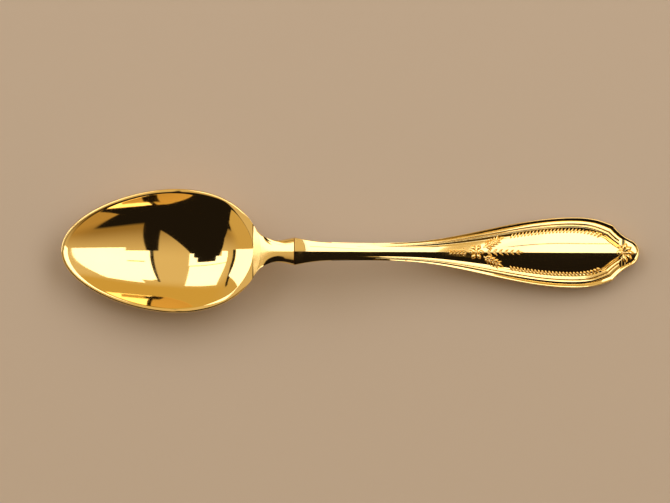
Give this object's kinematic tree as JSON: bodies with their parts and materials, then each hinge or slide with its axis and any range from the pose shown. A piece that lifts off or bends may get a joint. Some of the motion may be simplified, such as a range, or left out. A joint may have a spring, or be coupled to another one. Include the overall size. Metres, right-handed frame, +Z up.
{
  "type": "teaspoon",
  "caption": "Gilt teaspoon with an egg-shaped bowl, a slim arched stem and a threaded handle end with a leaf chain, a flower spray and a small shell.",
  "frame": {"origin": "on the table, under the middle of the spoon's length and width, with the bowl facing up", "axes": "+X along the spoon from the bowl's tip to the handle's end, +Y across it, +Z up out of the bowl"},
  "size_m": [0.14, 0.03, 0.0129],
  "materials": {
    "gilt_metal": "mirror-polished gold plate over a brass-like base metal"
  },
  "bodies": {
    "root": {"bowl": "gilt_metal", "neck": "gilt_metal", "handle_blank": "gilt_metal", "edge_wire": "gilt_metal", "inner_thread_left": "gilt_metal", "inner_thread_right": "gilt_metal", "fine_thread_left": "gilt_metal", "fine_thread_right": "gilt_metal", "leaf_chain_left": "gilt_metal", "leaf_chain_right": "gilt_metal", "flower": "gilt_metal", "stem_sprig": "gilt_metal", "centre_sprig": "gilt_metal", "side_sprig_left": "gilt_metal", "side_sprig_right": "gilt_metal", "tip_shell": "gilt_metal", "tip_bead": "gilt_metal"}
  },
  "joints": []
}
